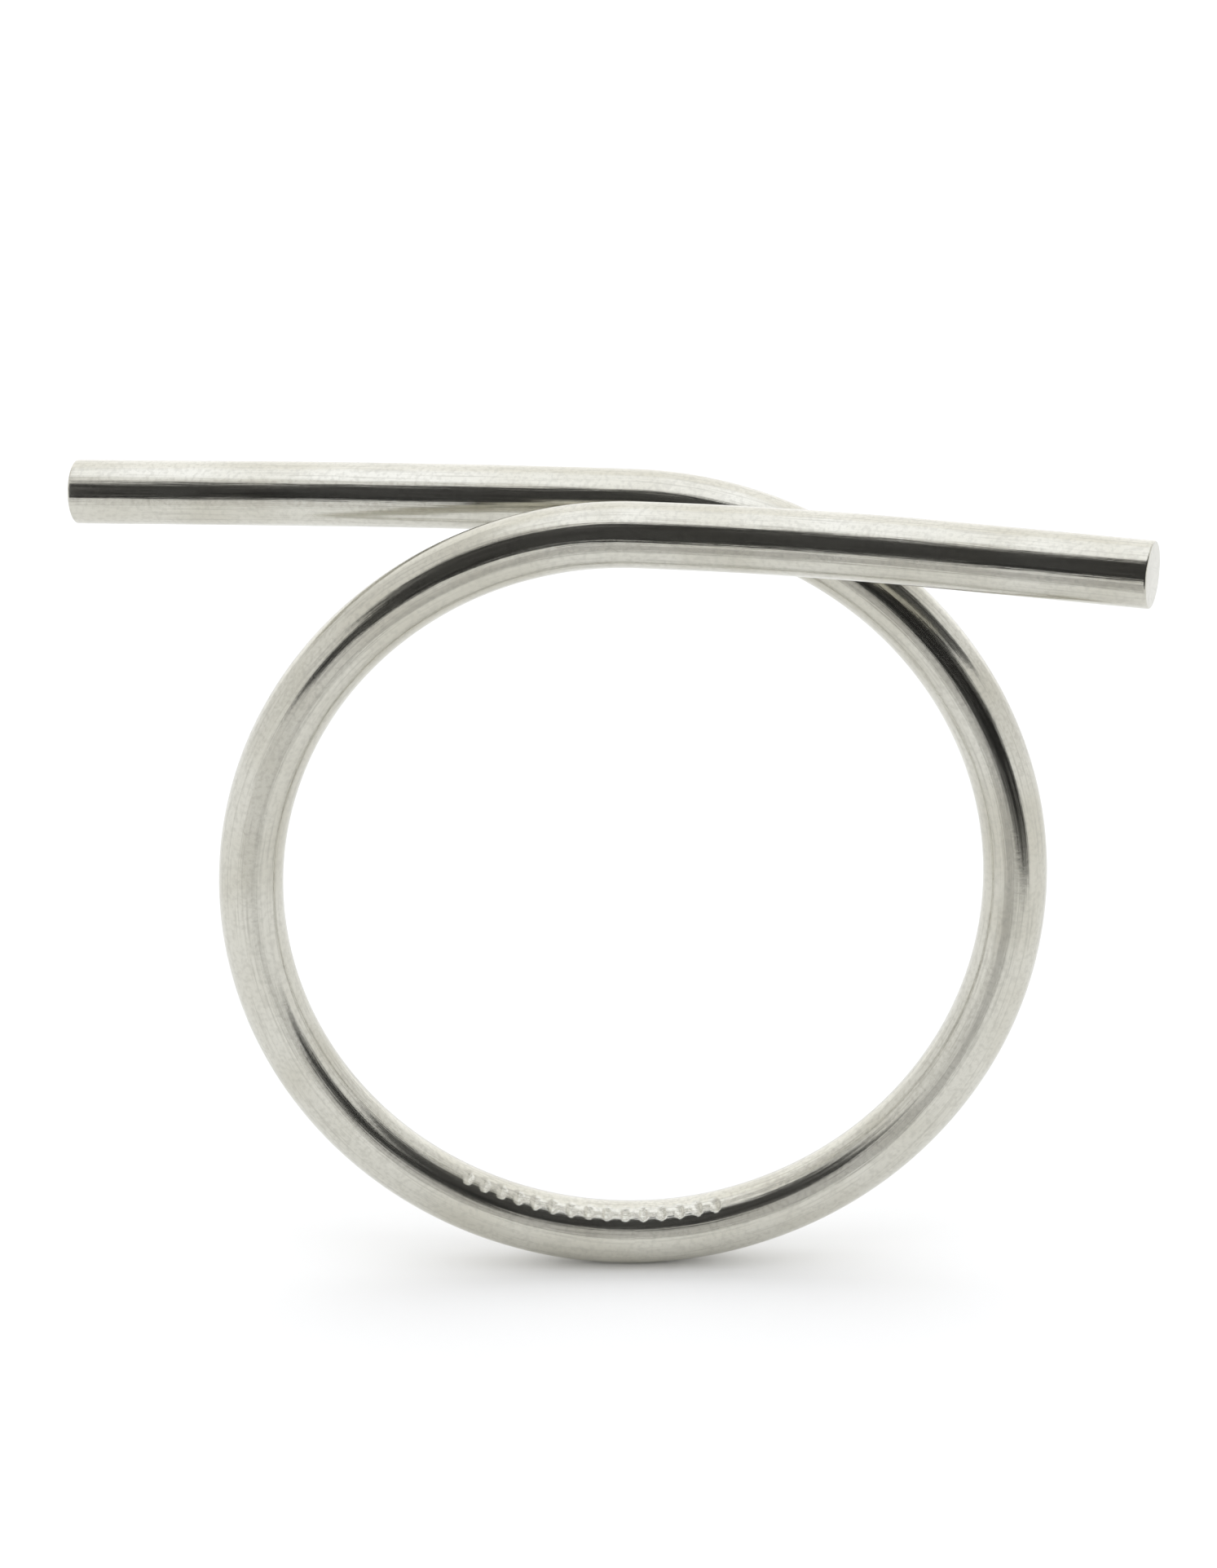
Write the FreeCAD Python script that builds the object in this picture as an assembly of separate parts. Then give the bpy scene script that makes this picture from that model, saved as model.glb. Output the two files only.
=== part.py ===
"""Crossover bar ring: one round rod bent into a finger loop whose two legs cross at the top.

The rod is made as two arms that meet at the bottom of the loop, where it springs open.
The rear arm climbs the right side, passes behind the crossing and ends in the left bar.
The front arm climbs the left side, passes in front and ends in the right bar.
Millimetres. The origin is the centre of the finger hole, +Z is up, the hole runs along Y,
and the front of the ring faces -Y.
"""

import FreeCAD
import Part
import math
import os

from FreeCAD import Vector

# Loop
FINGER_HOLE_DIAMETER = 17.5
ROD_DIAMETER = 1.6
ROD_RADIUS = ROD_DIAMETER / 2
LOOP_RADIUS = (FINGER_HOLE_DIAMETER + ROD_DIAMETER) / 2  # to the middle of the rod

# Crossing: how far each leg has left the loop's plane at the top. The rod stays near the
# plane low down and leaves it near the top, as the cube of the way round.
LEG_OFFSET = 1.46
LEG_OFFSET_POWER = 3

# Bars, measured along the rod from the top of the loop
REAR_BAR_LENGTH = 14.2
FRONT_BAR_LENGTH = 12.4
STRAIGHT_END_LENGTH = 5.0
REAR_BAR_YAW = 0.23  # how far a straight end runs out of the loop's plane per unit along X
FRONT_BAR_YAW = 0.37
REAR_BAR_DROOP = math.radians(2.8)
FRONT_BAR_DROOP = 0.0
END_ROUNDING = 0.05

# Clearance between the two arms where the loop flexes: an arm may turn 5 degrees about
# the middle of the rod there without touching the other
FLEX_GAP = 0.09

# The half loop is made of this many tangent arcs of equal turn
LOOP_ARCS = 8


def loop_point(angle):
    """Middle of the rear arm's rod, at an angle from the bottom of the loop."""
    offset = LEG_OFFSET * (angle / math.pi) ** LEG_OFFSET_POWER
    return Vector(LOOP_RADIUS * math.sin(angle), offset, -LOOP_RADIUS * math.cos(angle))


def bend_edge(start, leaving, inward, radius, turn):
    """Arc that leaves a point in one direction and turns towards another, and its end direction."""

    def on_arc(angle):
        return start + leaving * (radius * math.sin(angle)) + inward * (radius * (1 - math.cos(angle)))

    edge = Part.Arc(start, on_arc(turn / 2), on_arc(turn)).toShape()
    return edge, leaving * math.cos(turn) + inward * math.sin(turn)


def square_to(direction, other):
    """Unit vector square to a direction, on the side where another vector points."""
    return (other - direction * direction.dot(other)).normalize()


def half_loop_edges(first):
    """Tangent arcs of the loop's right half, from an angle near the bottom to the top."""
    direction = Vector(math.cos(first), 0, math.sin(first))
    edges = []
    for i in range(LOOP_ARCS):
        start, end = (loop_point(first + (math.pi - first) * k / LOOP_ARCS) for k in (i, i + 1))
        chord = end - start
        half_turn = direction.getAngle(chord)
        radius = chord.Length / 2 / math.sin(half_turn)
        edge, direction = bend_edge(start, direction, square_to(direction, chord), radius, 2 * half_turn)
        edges.append(edge)
    return edges, direction


def arm(bar_length, yaw, droop):
    """Rod of one arm, in the rear arm's place, with the cut edge of its bar rounded.

    Also returns where the bar's straight end starts and the direction it points in.
    """
    first = math.asin(FLEX_GAP / 2 / LOOP_RADIUS)
    loop, leaving = half_loop_edges(first)
    straight = Vector(-math.cos(droop), yaw, -math.sin(droop)).normalize()
    turn = leaving.getAngle(straight)
    radius = (bar_length - STRAIGHT_END_LENGTH) / turn
    bend, _ = bend_edge(loop_point(math.pi), leaving, square_to(leaving, straight), radius, turn)
    bend_end = bend.valueAt(bend.LastParameter)
    tip = bend_end + straight * STRAIGHT_END_LENGTH
    path = Part.Wire([*loop, bend, Part.makeLine(bend_end, tip)])
    section = Part.Wire(Part.makeCircle(ROD_RADIUS, loop_point(first), loop[0].tangentAt(0)))
    rod = path.makePipeShell([section], True, False)
    cut_edge = min(rod.Edges, key=lambda edge: (edge.CenterOfMass - tip).Length)
    return rod.makeFillet(END_ROUNDING, [cut_edge]).Solids[0], bend_end, straight


def main():
    os.makedirs("parts", exist_ok=True)
    to_front = FreeCAD.Placement(Vector(), FreeCAD.Rotation(Vector(0, 0, 1), 180))
    for name, bar_length, yaw, droop, placement in (
        ("rear_arm", REAR_BAR_LENGTH, REAR_BAR_YAW, REAR_BAR_DROOP, FreeCAD.Placement()),
        ("front_arm", FRONT_BAR_LENGTH, FRONT_BAR_YAW, FRONT_BAR_DROOP, to_front),
    ):
        rod, straight_start, straight = arm(bar_length, yaw, droop)
        rod.Placement = placement
        rod.exportStep(f"parts/{name}.step")
        print(name, "valid", rod.isValid(), "volume", round(rod.Volume, 2))
        print("  straight end from", placement.multVec(straight_start), "along", placement.multVec(straight))


main()
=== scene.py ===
"""Looks of a crossover bar ring: one polished rod bent into an open finger loop.

The loop's two legs cross at the top and run out as straight bars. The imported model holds
the rod as two arms that meet at the bottom of the loop, where it springs open. This script
replaces each arm by a finished rod of the same shape, so that the two read as one rod.
"""

import logging
import math
from dataclasses import dataclass, field
from enum import Enum

import bpy
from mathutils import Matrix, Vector


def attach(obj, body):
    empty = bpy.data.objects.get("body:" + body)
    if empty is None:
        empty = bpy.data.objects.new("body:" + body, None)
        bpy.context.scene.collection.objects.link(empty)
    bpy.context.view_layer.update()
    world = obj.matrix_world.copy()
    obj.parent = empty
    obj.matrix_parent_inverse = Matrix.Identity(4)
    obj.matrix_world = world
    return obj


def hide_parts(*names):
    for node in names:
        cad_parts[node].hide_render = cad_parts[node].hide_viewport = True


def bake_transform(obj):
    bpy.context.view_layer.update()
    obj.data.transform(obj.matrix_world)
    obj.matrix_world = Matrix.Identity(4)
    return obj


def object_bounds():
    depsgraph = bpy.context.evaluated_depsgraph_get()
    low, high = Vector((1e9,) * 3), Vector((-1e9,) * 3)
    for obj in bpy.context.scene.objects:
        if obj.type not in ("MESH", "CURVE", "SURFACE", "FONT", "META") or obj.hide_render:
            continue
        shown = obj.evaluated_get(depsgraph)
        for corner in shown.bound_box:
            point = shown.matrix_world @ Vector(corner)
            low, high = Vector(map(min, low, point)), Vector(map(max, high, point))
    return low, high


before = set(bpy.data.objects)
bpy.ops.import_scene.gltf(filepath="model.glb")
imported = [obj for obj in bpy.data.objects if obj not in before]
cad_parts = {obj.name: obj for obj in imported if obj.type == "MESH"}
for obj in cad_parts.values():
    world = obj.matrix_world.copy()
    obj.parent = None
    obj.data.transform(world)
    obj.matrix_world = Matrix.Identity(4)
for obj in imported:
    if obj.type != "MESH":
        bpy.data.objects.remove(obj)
CAD_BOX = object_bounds()

MM = 0.001

log = logging.getLogger("ring")


class Side(Enum):
    """The two arms, by the sign of the half turn about Z that puts each in its place."""

    REAR = 1
    FRONT = -1


class Layer(Enum):
    """Names of the values that a rod's mesh carries for its finish."""

    ROD_MAP = "rod_map"
    LOCAL_SCALE = "local_scale"
    ALONG = "along"
    AROUND = "around"


@dataclass(frozen=True)
class RodShape:
    """Sizes that both arms share, in metres and radians."""

    rod_radius: float = 0.8 * MM
    loop_radius: float = 9.55 * MM
    leg_offset: float = 1.46 * MM
    leg_offset_power: int = 3
    straight_end: float = 5.0 * MM
    end_rounding: float = 0.05 * MM

    @property
    def half_loop_length(self) -> float:
        """Length of rod from the bottom of the loop to its top, seen square on."""
        return math.pi * self.loop_radius

    def loop_point(self, angle: float) -> Vector:
        """Middle of the rear arm's rod.

        Args:
            angle: Angle from the bottom of the loop, in radians.

        Returns:
            The point, in metres.
        """
        offset = self.leg_offset * (angle / math.pi) ** self.leg_offset_power
        return Vector((self.loop_radius * math.sin(angle), offset, -self.loop_radius * math.cos(angle)))

    def top_direction(self) -> Vector:
        """Direction of the rear arm's rod at the top of the loop, where it leaves for its bar."""
        leaving = self.leg_offset * self.leg_offset_power / math.pi
        return Vector((-self.loop_radius, leaving, 0.0)).normalized()


@dataclass(frozen=True)
class PathPoint:
    """One point of a rod's middle line."""

    place: Vector
    along: float
    scale: float = 1.0


@dataclass(frozen=True)
class StampedRow:
    """Row of plain oval dimples pressed into the inside of the loop near its bottom."""

    pitch: float = 0.5 * MM
    rear_end: float = 2.5 * MM
    front_end: float = 4.9 * MM
    half_width: float = 0.17 * MM
    half_height: float = 0.3 * MM
    depth: float = 0.04 * MM
    lean: float = math.radians(29)
    margin: float = 0.4 * MM

    def length_on(self, side: Side) -> float:
        """Length of the row on one arm, from the bottom of the loop."""
        return self.rear_end if side is Side.REAR else self.front_end


class NodeKit:
    """Short ways to add and wire nodes in one tree."""

    def __init__(self, tree: bpy.types.NodeTree) -> None:
        """Keeps the tree.

        Args:
            tree: Node tree to build in.
        """
        self.tree = tree

    def add(self, kind: str, inputs: dict | None = None, **settings: object) -> bpy.types.Node:
        """Adds one node.

        Args:
            kind: Blender's node type name.
            inputs: Input name or number to a value or to another node's output socket.
            settings: Node properties to set before the inputs.

        Returns:
            The new node.
        """
        node = self.tree.nodes.new(kind)
        for name, value in settings.items():
            setattr(node, name, value)
        for key, value in (inputs or {}).items():
            if isinstance(value, bpy.types.NodeSocket):
                self.tree.links.new(value, node.inputs[key])
            else:
                node.inputs[key].default_value = value
        return node

    def math(self, operation: str, first: object, second: object = 0.0) -> bpy.types.NodeSocket:
        """Output of a math node.

        Args:
            operation: Blender's name of the operation.
            first: First value or socket.
            second: Second value or socket.

        Returns:
            The result's socket.
        """
        return self.add("ShaderNodeMath", {0: first, 1: second}, operation=operation).outputs[0]

    def smooth(
        self, value: object, low: float, high: float, start: float, end: float
    ) -> bpy.types.NodeSocket:
        """Output of a smooth step.

        Args:
            value: Socket to map.
            low: Value where the step starts.
            high: Value where it ends.
            start: Result before the step.
            end: Result after it.

        Returns:
            The result's socket.
        """
        values = {"Value": value, "From Min": low, "From Max": high, "To Min": start, "To Max": end}
        return self.add("ShaderNodeMapRange", values, interpolation_type="SMOOTHSTEP").outputs["Result"]

    def mix(self, kind: str, factor: object, first: object, second: object) -> bpy.types.NodeSocket:
        """Output of a mix node.

        Args:
            kind: FLOAT or RGBA.
            factor: Share of the second value.
            first: First value or socket.
            second: Second value or socket.

        Returns:
            The result's socket.
        """
        spots = {"FLOAT": (0, 2, 3, 0), "RGBA": (0, 6, 7, 2)}[kind]
        inputs = {spots[0]: factor, spots[1]: first, spots[2]: second}
        node = self.add("ShaderNodeMix", inputs, data_type=kind)
        return node.outputs[spots[3]]


@dataclass(frozen=True)
class RodTree:
    """Geometry Nodes tree that sweeps a round section along a line and stamps the row of dimples.

    The flat floor of a dimple is given as a share of the way from its middle to its rim.
    """

    sides: int = 144
    dimple_floor: float = 0.1

    def build(self) -> bpy.types.GeometryNodeTree:
        """Makes the tree.

        Returns:
            The tree, with a named input for each size.
        """
        tree = bpy.data.node_groups.new("rod_sweep", "GeometryNodeTree")
        kit = NodeKit(tree)
        for name, kind in (
            ("Path", "NodeSocketGeometry"),
            ("Rod radius", "NodeSocketFloat"),
            ("Sides", "NodeSocketInt"),
            ("Row pitch", "NodeSocketFloat"),
            ("Row length", "NodeSocketFloat"),
            ("Dimple half width", "NodeSocketFloat"),
            ("Dimple half height", "NodeSocketFloat"),
            ("Dimple depth", "NodeSocketFloat"),
            ("Row lean", "NodeSocketFloat"),
            ("Finish", "NodeSocketMaterial"),
        ):
            tree.interface.new_socket(name, in_out="INPUT", socket_type=kind)
        tree.interface.new_socket("Rod", in_out="OUTPUT", socket_type="NodeSocketGeometry")
        given = kit.add("NodeGroupInput").outputs
        rod = self._swept(kit, given)
        stamped = self._stamped(kit, given, rod)
        smooth = kit.add("GeometryNodeSetShadeSmooth", {"Geometry": stamped}).outputs[0]
        finished = kit.add("GeometryNodeSetMaterial", {"Geometry": smooth, "Material": given["Finish"]})
        real = kit.add("GeometryNodeRealizeInstances", {"Geometry": finished.outputs[0]})
        kit.add("NodeGroupOutput", {"Rod": real.outputs[0]})
        return tree

    def _swept(self, kit: NodeKit, given: object) -> bpy.types.NodeSocket:
        """Sweeps the section along the path and stores the rod's own map.

        Args:
            kit: Node kit of the tree.
            given: Output sockets of the group input.

        Returns:
            Socket of the rod's mesh.
        """
        line = kit.add("GeometryNodeMeshToCurve", {"Mesh": given["Path"]}).outputs[0]
        round_section = {"Resolution": given["Sides"], "Radius": given["Rod radius"]}
        circle = kit.add("GeometryNodeCurvePrimitiveCircle", round_section)
        turn = kit.add("GeometryNodeSplineParameter").outputs["Factor"]
        section = kit.add(
            "GeometryNodeStoreNamedAttribute",
            {"Geometry": circle.outputs["Curve"], "Name": Layer.AROUND.value, "Value": turn},
        ).outputs[0]
        scale = kit.add("GeometryNodeInputNamedAttribute", {"Name": Layer.LOCAL_SCALE.value}).outputs[0]
        sweep = kit.add(
            "GeometryNodeCurveToMesh",
            {"Curve": line, "Profile Curve": section, "Scale": scale, "Fill Caps": True},
        )
        return sweep.outputs[0]

    def _stamped(self, kit: NodeKit, given: object, rod: bpy.types.NodeSocket) -> bpy.types.NodeSocket:
        """Presses the row of dimples into the side of the rod that faces the finger hole.

        Args:
            kit: Node kit of the tree.
            given: Output sockets of the group input.
            rod: Socket of the smooth rod.

        Returns:
            Socket of the stamped rod.
        """
        normal = kit.add("GeometryNodeInputNormal").outputs["Normal"]
        place = kit.add("GeometryNodeInputPosition").outputs[0]
        along = kit.add("GeometryNodeInputNamedAttribute", {"Name": Layer.ALONG.value}).outputs[0]
        parts = kit.add("ShaderNodeSeparateXYZ", {0: normal}).outputs
        to_front = kit.math("ARCSINE", kit.math("MULTIPLY", parts["Y"], -1.0))
        from_row = kit.math("SUBTRACT", to_front, given["Row lean"])
        across = kit.math("MULTIPLY", from_row, given["Rod radius"])
        step = kit.math("DIVIDE", along, given["Row pitch"])
        in_pitch = kit.math("SUBTRACT", kit.math("FRACT", step), 0.5)
        from_middle = kit.math("MULTIPLY", in_pitch, given["Row pitch"])
        lengthwise = kit.math("DIVIDE", from_middle, given["Dimple half width"])
        crosswise = kit.math("DIVIDE", across, given["Dimple half height"])
        squares = [kit.math("POWER", kit.math("ABSOLUTE", value), 2.0) for value in (lengthwise, crosswise)]
        reach = kit.math("SQRT", kit.math("ADD", *squares))
        dimple = kit.smooth(reach, self.dimple_floor, 1.0, 1.0, 0.0)
        on_row = kit.math("LESS_THAN", along, given["Row length"])
        facing = kit.add("ShaderNodeVectorMath", {0: normal, 1: place}, operation="DOT_PRODUCT")
        inside = kit.math("LESS_THAN", facing.outputs["Value"], 0.0)
        share = kit.math("MULTIPLY", kit.math("MULTIPLY", dimple, on_row), inside)
        depth = kit.math("MULTIPLY", kit.math("MULTIPLY", share, given["Dimple depth"]), -1.0)
        offset = kit.add("ShaderNodeVectorMath", {0: normal, "Scale": depth}, operation="SCALE")
        return kit.add("GeometryNodeSetPosition", {"Geometry": rod, "Offset": offset.outputs[0]}).outputs[0]


@dataclass(frozen=True)
class PolishedSilver:
    """Bright polished metal with fine lines along the rod, soft cloudiness and tiny pits.

    Each range gives the noise values between which its effect sets in.
    """

    colour: tuple = (0.62, 0.61, 0.55, 1.0)
    warm_colour: tuple = (0.54, 0.525, 0.455, 1.0)
    streak_colour: tuple = (0.40, 0.39, 0.345, 1.0)
    streak_share: float = 0.5
    grain_share: float = 0.35
    roughness_low: float = 0.13
    roughness_high: float = 0.25
    line_bump: float = 0.08
    pit_bump: float = 0.04
    line_width: float = 0.06 * MM
    line_length: float = 2.5 * MM
    pit_size: float = 0.12 * MM
    cloud_size: float = 3.0 * MM
    cloud_range: tuple = (0.35, 0.7)
    streak_range: tuple = (0.5, 0.72)
    grain_range: tuple = (0.42, 0.68)
    roughness_range: tuple = (0.3, 0.75)

    def build(self) -> bpy.types.Material:
        """Makes the material.

        Returns:
            The material, which follows the rod's own map and its place.
        """
        material = bpy.data.materials.new("polished_silver")
        material.use_nodes = True
        kit = NodeKit(material.node_tree)
        material.node_tree.nodes.clear()
        place = kit.add("ShaderNodeTexCoord").outputs["Object"]
        lines = self._lines(kit)
        pits = self._noise(kit, place, self.pit_size, 3.0)
        clouds = self._noise(kit, place, self.cloud_size, 2.0)
        clouded = kit.smooth(clouds, *self.cloud_range, 0.0, 1.0)
        colour = kit.mix("RGBA", clouded, self.colour, self.warm_colour)
        streaked = kit.smooth(lines, *self.streak_range, 0.0, self.streak_share)
        colour = kit.mix("RGBA", streaked, colour, self.streak_colour)
        grained = kit.smooth(pits, *self.grain_range, 0.0, self.grain_share)
        colour = kit.mix("RGBA", grained, colour, self.streak_colour)
        rough = kit.smooth(lines, *self.roughness_range, self.roughness_low, self.roughness_high)
        bumped = kit.add(
            "ShaderNodeBump", {"Strength": self.line_bump, "Distance": self.line_width, "Height": lines}
        )
        pitted = kit.add(
            "ShaderNodeBump",
            {
                "Strength": self.pit_bump,
                "Distance": self.pit_size / 4,
                "Height": pits,
                "Normal": bumped.outputs[0],
            },
        )
        shader = kit.add(
            "ShaderNodeBsdfPrincipled",
            {"Base Color": colour, "Metallic": 1.0, "Roughness": rough, "Normal": pitted.outputs[0]},
        )
        kit.add("ShaderNodeOutputMaterial", {"Surface": shader.outputs[0]})
        return material

    def _noise(
        self, kit: NodeKit, place: bpy.types.NodeSocket, size: float, detail: float
    ) -> bpy.types.NodeSocket:
        """Even noise all over the metal.

        Args:
            kit: Node kit of the material.
            place: Socket of the place.
            size: Size of the noise in metres.
            detail: How fine it goes.

        Returns:
            Socket of the noise.
        """
        noise = kit.add("ShaderNodeTexNoise", {"Vector": place, "Scale": 1 / size, "Detail": detail})
        return noise.outputs["Fac"]

    def _lines(self, kit: NodeKit) -> bpy.types.NodeSocket:
        """Noise drawn out along the rod, as drawing and polishing leave it.

        Args:
            kit: Node kit of the material.

        Returns:
            Socket of the noise.
        """
        rod_map = kit.add("ShaderNodeUVMap", uv_map=Layer.ROD_MAP.value).outputs[0]
        drawn = kit.add(
            "ShaderNodeMapping",
            {"Vector": rod_map, "Scale": (1 / self.line_length, 1 / self.line_width, 1.0)},
        )
        noise = kit.add("ShaderNodeTexNoise", {"Vector": drawn.outputs[0], "Scale": 1.0, "Detail": 4.0})
        return noise.outputs["Fac"]


@dataclass
class Arm:
    """One arm of the ring: half the loop, an easy bend and a straight bar end.

    A front arm's share of its height, for spreading its turn about the joint, is not used.
    """

    name: str
    side: Side
    bar_length: float
    bar_yaw: float
    droop: float
    shape: RodShape = field(default_factory=RodShape)
    row: StampedRow = field(default_factory=StampedRow)
    coarse_step: float = 0.1 * MM
    fine_step: float = 0.035 * MM
    seam_step: float = 0.01 * MM
    rounding_steps: int = 8
    blend_end: float = 0.6

    def points(self) -> list[PathPoint]:
        """Middle line of the rod, from the bottom of the loop to the cut end.

        Returns:
            The points in order, each with its distance along the rod.
        """
        points = []
        for along in self._loop_steps():
            place = self.shape.loop_point(along / self.shape.loop_radius)
            points.append(PathPoint(self._placed(place), along))
        leaving, straight = self.shape.top_direction(), self._straight()
        turn = leaving.angle(straight)
        length = self.bar_length - self.shape.straight_end
        radius = length / turn
        inward = (straight - leaving * leaving.dot(straight)).normalized()
        top = self.shape.loop_point(math.pi)
        start = points[-1].along
        count = round(length / self.coarse_step)
        for i in range(1, count + 1):
            a = turn * i / count
            place = top + leaving * (radius * math.sin(a)) + inward * (radius * (1 - math.cos(a)))
            points.append(PathPoint(self._placed(place), start + length * i / count))
        return points + self._end_points(place, straight, start + length)

    def build(self, tree: bpy.types.GeometryNodeTree, finish: bpy.types.Material) -> bpy.types.Object:
        """Makes the rod's mesh.

        Args:
            tree: Tree that sweeps the rod.
            finish: Material of the rod.

        Returns:
            The finished piece, at the origin, with its place in its mesh.
        """
        line = self._line_object()
        modifier = line.modifiers.new("rod", "NODES")
        modifier.node_group = tree
        values = {
            "Rod radius": self.shape.rod_radius,
            "Sides": RodTree().sides,
            "Row pitch": self.row.pitch,
            "Row length": self.row.length_on(self.side),
            "Dimple half width": self.row.half_width,
            "Dimple half height": self.row.half_height,
            "Dimple depth": self.row.depth,
            "Row lean": self.row.lean,
            "Finish": finish,
        }
        for item in tree.interface.items_tree:
            if item.in_out == "INPUT" and item.name in values:
                modifier[item.identifier] = values[item.name]
        graph = bpy.context.evaluated_depsgraph_get()
        mesh = bpy.data.meshes.new_from_object(line.evaluated_get(graph))
        line.modifiers.clear()
        bpy.data.objects.remove(line)
        piece = bpy.data.objects.new(self.name, mesh)
        bpy.context.scene.collection.objects.link(piece)
        self._map_rod(mesh)
        return piece

    def join_to_frame(self, piece: bpy.types.Object) -> None:
        """Puts a rear piece on its arm's body, leaves a front piece fixed with its place baked in, and
        hides the arm's part.

        Args:
            piece: The finished rod.
        """
        body = f"{self.side.name.lower()}_arm"
        if self.side is Side.REAR:
            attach(piece, body)
        else:
            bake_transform(piece)
        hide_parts(body)

    def _placed(self, point: Vector) -> Vector:
        """The point turned from the rear arm's place to this arm's place."""
        sign = self.side.value
        return Vector((sign * point.x, sign * point.y, point.z))

    def _straight(self) -> Vector:
        """Direction of the straight end, in the rear arm's place."""
        return Vector((-math.cos(self.droop), self.bar_yaw, -math.sin(self.droop))).normalized()

    def _loop_steps(self) -> list[float]:
        """Distances along the half loop, close together at the seam and under the stamped row."""
        steps = [0.0, self.seam_step]
        fine_end = self.row.length_on(self.side) + self.row.margin
        while steps[-1] < fine_end:
            steps.append(steps[-1] + self.fine_step)
        rest = self.shape.half_loop_length - steps[-1]
        count = round(rest / self.coarse_step)
        first = steps[-1]
        return steps + [first + rest * i / count for i in range(1, count + 1)]

    def _end_points(self, start: Vector, straight: Vector, along: float) -> list[PathPoint]:
        """Straight end of the rod with its cut edge rounded.

        Args:
            start: Where the straight end starts, in the rear arm's place.
            straight: Its direction there.
            along: Distance along the rod where it starts.

        Returns:
            The points of the straight end, the last few drawn in to round the edge.
        """
        rounding = self.shape.end_rounding
        wall = self.shape.straight_end - rounding
        count = round(wall / self.coarse_step)
        reach = [(wall * i / count, 1.0) for i in range(1, count + 1)]
        for i in range(1, self.rounding_steps + 1):
            a = math.pi / 2 * i / self.rounding_steps
            drawn_in = rounding * (1 - math.cos(a)) / self.shape.rod_radius
            reach.append((wall + rounding * math.sin(a), 1.0 - drawn_in))
        return [PathPoint(self._placed(start + straight * d), along + d, scale) for d, scale in reach]

    def _line_object(self) -> bpy.types.Object:
        """Object whose mesh is the middle line, with the values that the sweep reads.

        Returns:
            The line's object, linked to the scene.
        """
        points = self.points()
        mesh = bpy.data.meshes.new(f"{self.name}_line")
        edges = [(i, i + 1) for i in range(len(points) - 1)]
        mesh.from_pydata([p.place for p in points], edges, [])
        for layer, values in (
            (Layer.ALONG, [p.along for p in points]),
            (Layer.LOCAL_SCALE, [p.scale for p in points]),
        ):
            mesh.attributes.new(layer.value, "FLOAT", "POINT").data.foreach_set("value", values)
        line = bpy.data.objects.new(f"{self.name}_line", mesh)
        bpy.context.scene.collection.objects.link(line)
        return line

    def _map_rod(self, mesh: bpy.types.Mesh) -> None:
        """Writes the rod's own map: metres along it and metres round it.

        Args:
            mesh: The finished rod's mesh.
        """
        along = [v.value for v in mesh.attributes[Layer.ALONG.value].data]
        around = [v.value for v in mesh.attributes[Layer.AROUND.value].data]
        girth = 2 * math.pi * self.shape.rod_radius
        rod_map = mesh.uv_layers.new(name=Layer.ROD_MAP.value)
        for polygon in mesh.polygons:
            turns = [around[mesh.loops[i].vertex_index] for i in polygon.loop_indices]
            wraps = max(turns) - min(turns) > 0.5
            for i, turn in zip(polygon.loop_indices, turns):
                if wraps and turn < 0.5:
                    turn += 1.0
                rod_map.data[i].uv = (along[mesh.loops[i].vertex_index], turn * girth)


@dataclass
class Floor:
    """Plain pale floor that the ring stands on, meshed more closely near the ring."""

    radius: float = 1.6
    rings: int = 40
    spokes: int = 96
    crowding: int = 3
    colour: tuple = (0.93, 0.93, 0.925, 1.0)
    roughness: float = 0.9
    gloss: float = 0.1
    grain_size: float = 0.4 * MM
    grain_bump: float = 0.05

    def build(self) -> bpy.types.Object:
        """Makes the floor at the ring's lowest point.

        Returns:
            The floor.
        """
        height = CAD_BOX[0].z
        places = [(0.0, 0.0, height)]
        faces = []
        for ring in range(1, self.rings + 1):
            reach = self.radius * (ring / self.rings) ** self.crowding
            for spoke in range(self.spokes):
                a = 2 * math.pi * spoke / self.spokes
                places.append((reach * math.cos(a), reach * math.sin(a), height))
        for spoke in range(self.spokes):
            after = (spoke + 1) % self.spokes
            faces.append((0, 1 + spoke, 1 + after))
            for ring in range(self.rings - 1):
                inner, outer = 1 + ring * self.spokes, 1 + (ring + 1) * self.spokes
                faces.append((inner + spoke, outer + spoke, outer + after, inner + after))
        mesh = bpy.data.meshes.new("floor")
        mesh.from_pydata(places, [], faces)
        mesh.materials.append(self._finish())
        floor = bpy.data.objects.new("floor", mesh)
        bpy.context.scene.collection.objects.link(floor)
        return floor

    def _finish(self) -> bpy.types.Material:
        """Matt pale paper with a faint grain.

        Returns:
            The floor's material.
        """
        material = bpy.data.materials.new("pale_paper")
        material.use_nodes = True
        material.node_tree.nodes.clear()
        kit = NodeKit(material.node_tree)
        place = kit.add("ShaderNodeTexCoord").outputs["Object"]
        grain = kit.add("ShaderNodeTexNoise", {"Vector": place, "Scale": 1 / self.grain_size})
        bump = kit.add(
            "ShaderNodeBump",
            {
                "Strength": self.grain_bump,
                "Distance": self.grain_size / 8,
                "Height": grain.outputs["Fac"],
            },
        )
        shader = kit.add(
            "ShaderNodeBsdfPrincipled",
            {
                "Base Color": self.colour,
                "Roughness": self.roughness,
                "Specular IOR Level": self.gloss,
                "Normal": bump.outputs[0],
            },
        )
        kit.add("ShaderNodeOutputMaterial", {"Surface": shader.outputs[0]})
        return material


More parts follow.
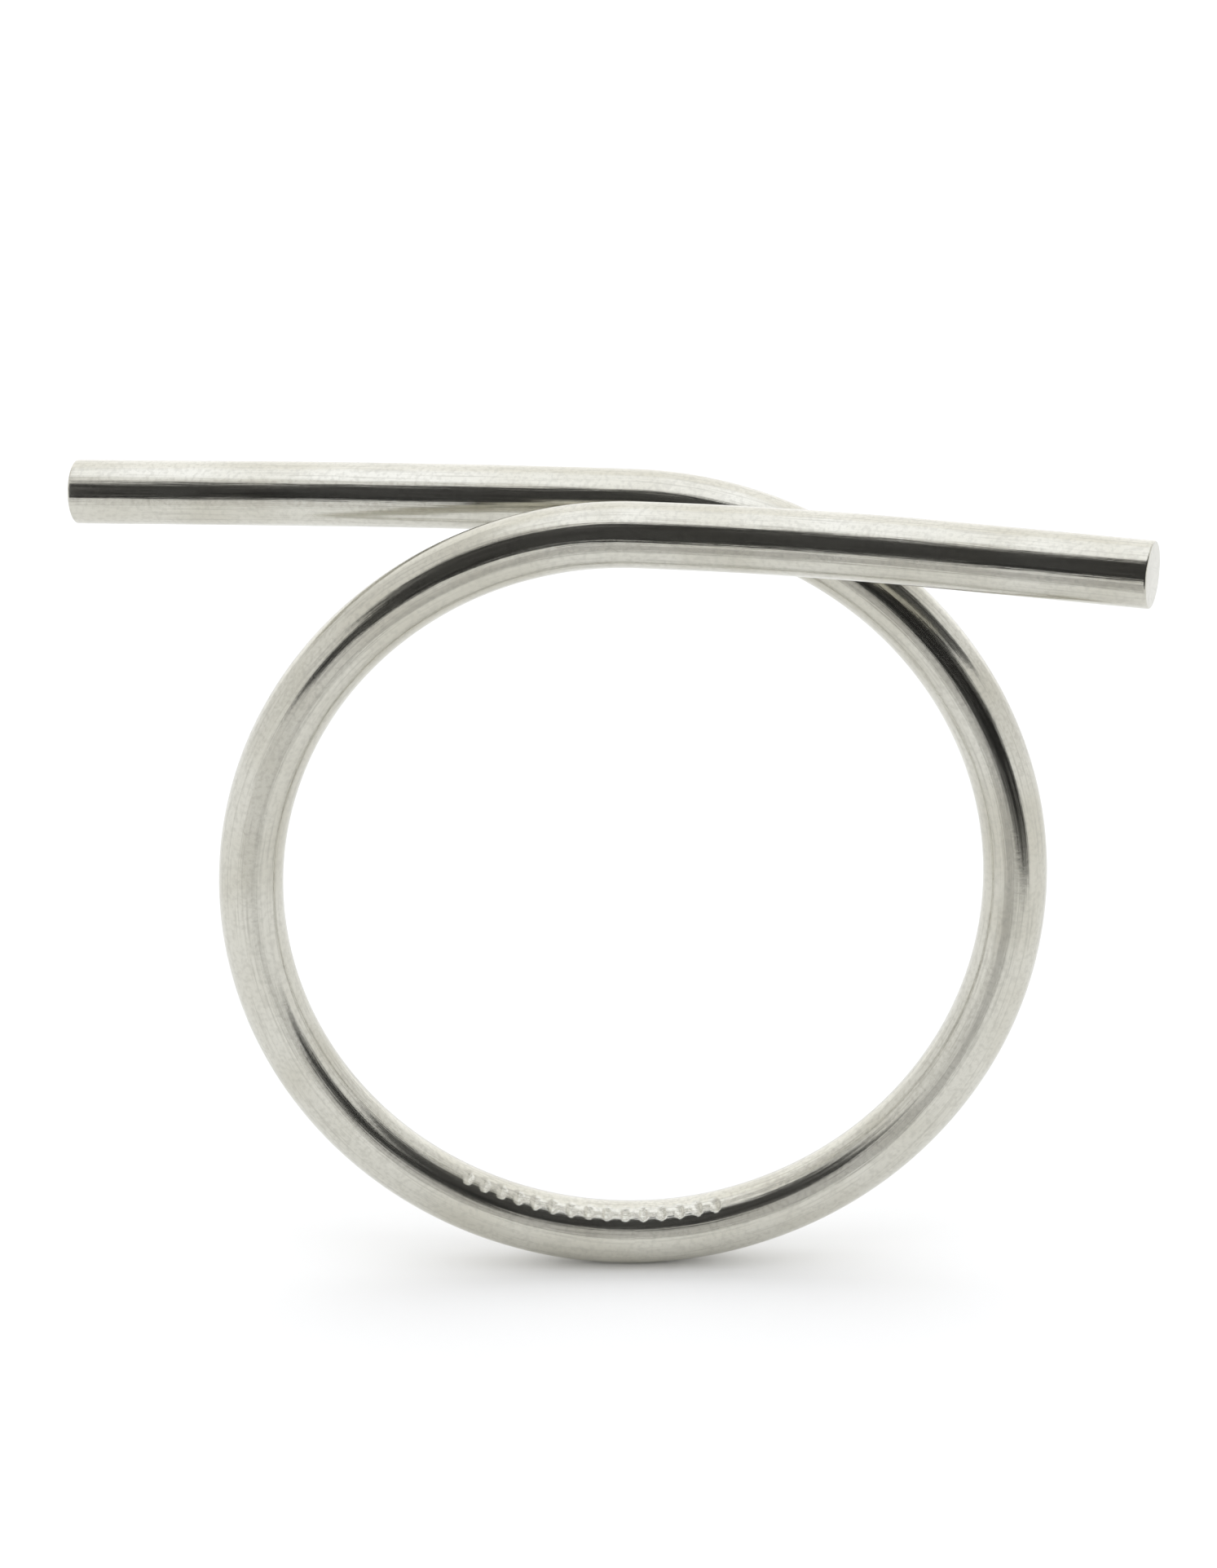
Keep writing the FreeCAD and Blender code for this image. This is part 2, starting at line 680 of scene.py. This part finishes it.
@dataclass(frozen=True)
class Card:
    """Card that stands or lies by the front of the ring and shows only in its polish.

    It spans two lines of the same number of points, in metres.
    """

    name: str
    lower_edge: tuple
    upper_edge: tuple
    tone: float

    @classmethod
    def arc(
        cls, name: str, headings: tuple, heights: tuple, tone: float, distance: float = 130 * MM
    ) -> "Card":
        """Card bent round the ring, with its edges given as directions from the ring.

        Args:
            name: The card's name.
            headings: Left and right edge in degrees, 0 at the front and 90 at the right.
            heights: Foot and top in degrees above the level.
            tone: How light the card is.
            distance: How far it stands from the ring.

        Returns:
            The card.
        """
        steps = 24
        spread = (headings[1] - headings[0]) / steps
        turns = [math.radians(headings[0] + spread * i) for i in range(steps + 1)]
        plan = tuple((distance * math.sin(a), -distance * math.cos(a)) for a in turns)
        foot, top = (distance * math.tan(math.radians(h)) for h in heights)
        return cls.upright(name, plan, (foot, top), tone)

    @classmethod
    def upright(cls, name: str, plan: tuple, heights: tuple, tone: float) -> "Card":
        """Upright card, no lower than the floor.

        Args:
            name: The card's name.
            plan: The line that it stands on, as points across the floor in metres.
            heights: Foot and top in metres.
            tone: How light the card is.

        Returns:
            The card.
        """
        foot, top = max(CAD_BOX[0].z, heights[0]), heights[1]
        lower, upper = (tuple((x, y, z) for x, y in plan) for z in (foot, top))
        return cls(name, lower, upper, tone)

    def build(self) -> bpy.types.Object:
        """Makes the card.

        Returns:
            The card, unseen by the camera, by diffuse light and by shadows.
        """
        places = [place for pair in zip(self.lower_edge, self.upper_edge) for place in pair]
        faces = [(2 * i, 2 * i + 2, 2 * i + 3, 2 * i + 1) for i in range(len(self.lower_edge) - 1)]
        mesh = bpy.data.meshes.new(self.name)
        mesh.from_pydata(places, [], faces)
        mesh.materials.append(self._finish())
        card = bpy.data.objects.new(self.name, mesh)
        bpy.context.scene.collection.objects.link(card)
        card.visible_camera = False
        card.visible_diffuse = False
        card.visible_shadow = False
        return card

    def _finish(self) -> bpy.types.Material:
        """Even card of one tone.

        Returns:
            The card's material.
        """
        material = bpy.data.materials.new(self.name)
        material.use_nodes = True
        material.node_tree.nodes.clear()
        kit = NodeKit(material.node_tree)
        shader = kit.add("ShaderNodeEmission", {"Color": (self.tone, self.tone, self.tone, 1.0)})
        kit.add("ShaderNodeOutputMaterial", {"Surface": shader.outputs[0]})
        return material


@dataclass
class Studio:
    """Soft white light from above, the sides and the back, with cards round the front.

    Directions are degrees from the ring: azimuth 0 is the front and 90 the right.
    """

    overhead_light: float = 1.55
    overhead_tint: tuple = (0.97, 0.985, 1.03, 1.0)
    side_tint: tuple = (1.0, 1.0, 1.0, 1.0)
    back_light: float = 1.35
    side_light: float = 1.0
    overhead_from: float = 60.0
    back_from: float = 135.0
    edge: float = 6.0
    cards: list[Card] = field(
        default_factory=lambda: [
            Card.arc("dark_front", (-48.0, 16.0), (-20.0, 42.0), 0.025),
            Card.arc("dark_right", (16.0, 44.0), (-20.0, 55.0), 0.02),
            Card.arc("dark_high_right", (44.0, 82.0), (20.0, 60.0), 0.06),
            Card.upright("near_top", ((-0.045, -0.025), (0.025, -0.025)), (0.020, 0.048), 0.05),
            Card.upright(
                "right_foot", ((-0.003, -0.042), (0.014, -0.039), (0.036, -0.028)), (-0.012, 0.0095), 0.015
            ),
            Card.upright("near_front", ((-0.008, -0.022), (0.004, -0.022)), (-0.012, 0.003), 0.66),
            Card.upright("near_left", ((-0.030, -0.022), (-0.008, -0.022)), (-0.012, 0.003), 0.9),
            Card(
                "near_over",
                ((-0.014, -0.025, 0.012), (0.008, -0.025, 0.012)),
                ((-0.014, -0.0062, 0.012), (0.008, -0.0062, 0.012)),
                0.05,
            ),
        ]
    )

    def build(self) -> None:
        """Makes the world that lights the ring and the cards that show in its polish."""
        world = bpy.data.worlds.new("studio")
        world.use_nodes = True
        world.node_tree.nodes.clear()
        kit = NodeKit(world.node_tree)
        direction = kit.add("ShaderNodeTexCoord").outputs["Generated"]
        parts = kit.add("ShaderNodeSeparateXYZ", {0: direction}).outputs
        height = kit.math("MULTIPLY", kit.math("ARCSINE", parts["Z"]), 180 / math.pi)
        forward = kit.math("MULTIPLY", parts["Y"], -1.0)
        heading = kit.math("MULTIPLY", kit.math("ARCTAN2", parts["X"], forward), 180 / math.pi)
        from_front = kit.math("ABSOLUTE", heading)
        overhead, behind = (
            kit.smooth(angle, start - self.edge, start + self.edge, 0.0, 1.0)
            for angle, start in ((height, self.overhead_from), (from_front, self.back_from))
        )
        low = kit.mix("FLOAT", behind, self.side_light, self.back_light)
        light = kit.mix("FLOAT", overhead, low, self.overhead_light)
        tint = kit.mix("RGBA", overhead, self.side_tint, self.overhead_tint)
        background = kit.add("ShaderNodeBackground", {"Color": tint, "Strength": light})
        kit.add("ShaderNodeOutputWorld", {"Surface": background.outputs[0]})
        bpy.context.scene.world = world
        bpy.context.scene.view_settings.view_transform = "Standard"
        for card in self.cards:
            card.build()


@dataclass
class Camera:
    """Camera in front of the ring and a little above it.

    Directions are in degrees, places in metres, and focal length and sensor in millimetres.
    """

    azimuth: float = -1.33
    elevation: float = 19.77
    distance: float = 105.05 * MM
    to_right: float = -0.65 * MM
    to_up: float = 2.54 * MM
    focal_length: float = 96.5
    sensor_width: float = 36.0
    nearest: float = 1.0 * MM

    def build(self) -> bpy.types.Object:
        """Makes the camera and sets it as the scene's.

        Returns:
            The camera.
        """
        a, e = math.radians(self.azimuth), math.radians(self.elevation)
        back = Vector((math.sin(a) * math.cos(e), -math.cos(a) * math.cos(e), math.sin(e)))
        right = Vector((math.cos(a), math.sin(a), 0.0))
        up = back.cross(right)
        data = bpy.data.cameras.new("camera")
        data.lens = self.focal_length
        data.sensor_width = self.sensor_width
        data.clip_start = self.nearest
        camera = bpy.data.objects.new("camera", data)
        bpy.context.scene.collection.objects.link(camera)
        camera.location = back * self.distance + right * self.to_right + up * self.to_up
        camera.rotation_euler = back.to_track_quat("Z", "Y").to_euler()
        bpy.context.scene.camera = camera
        return camera


@dataclass
class Ring:
    """The whole ring: two arms that meet at the bottom of the loop."""

    arms: list[Arm] = field(
        default_factory=lambda: [
            Arm("rear_rod", Side.REAR, bar_length=14.2 * MM, bar_yaw=0.23, droop=math.radians(2.8)),
            Arm("front_rod", Side.FRONT, bar_length=12.4 * MM, bar_yaw=0.37, droop=0.0),
        ]
    )

    def build(self) -> list[bpy.types.Object]:
        """Makes both arms, each in place of its arm's part, the rear one on its body.

        Returns:
            The finished pieces.
        """
        finish = PolishedSilver().build()
        tree = RodTree().build()
        pieces = []
        for arm in self.arms:
            piece = arm.build(tree, finish)
            arm.join_to_frame(piece)
            log.info("%s: %d faces", piece.name, len(piece.data.polygons))
            pieces.append(piece)
        return pieces


def main() -> None:
    """Builds the camera, the ring and the studio in order."""
    logging.basicConfig(level=logging.INFO, format="%(name)s: %(message)s")
    Camera().build()
    Ring().build()
    Floor().build()
    Studio().build()


if __name__ == "__main__":
    main()
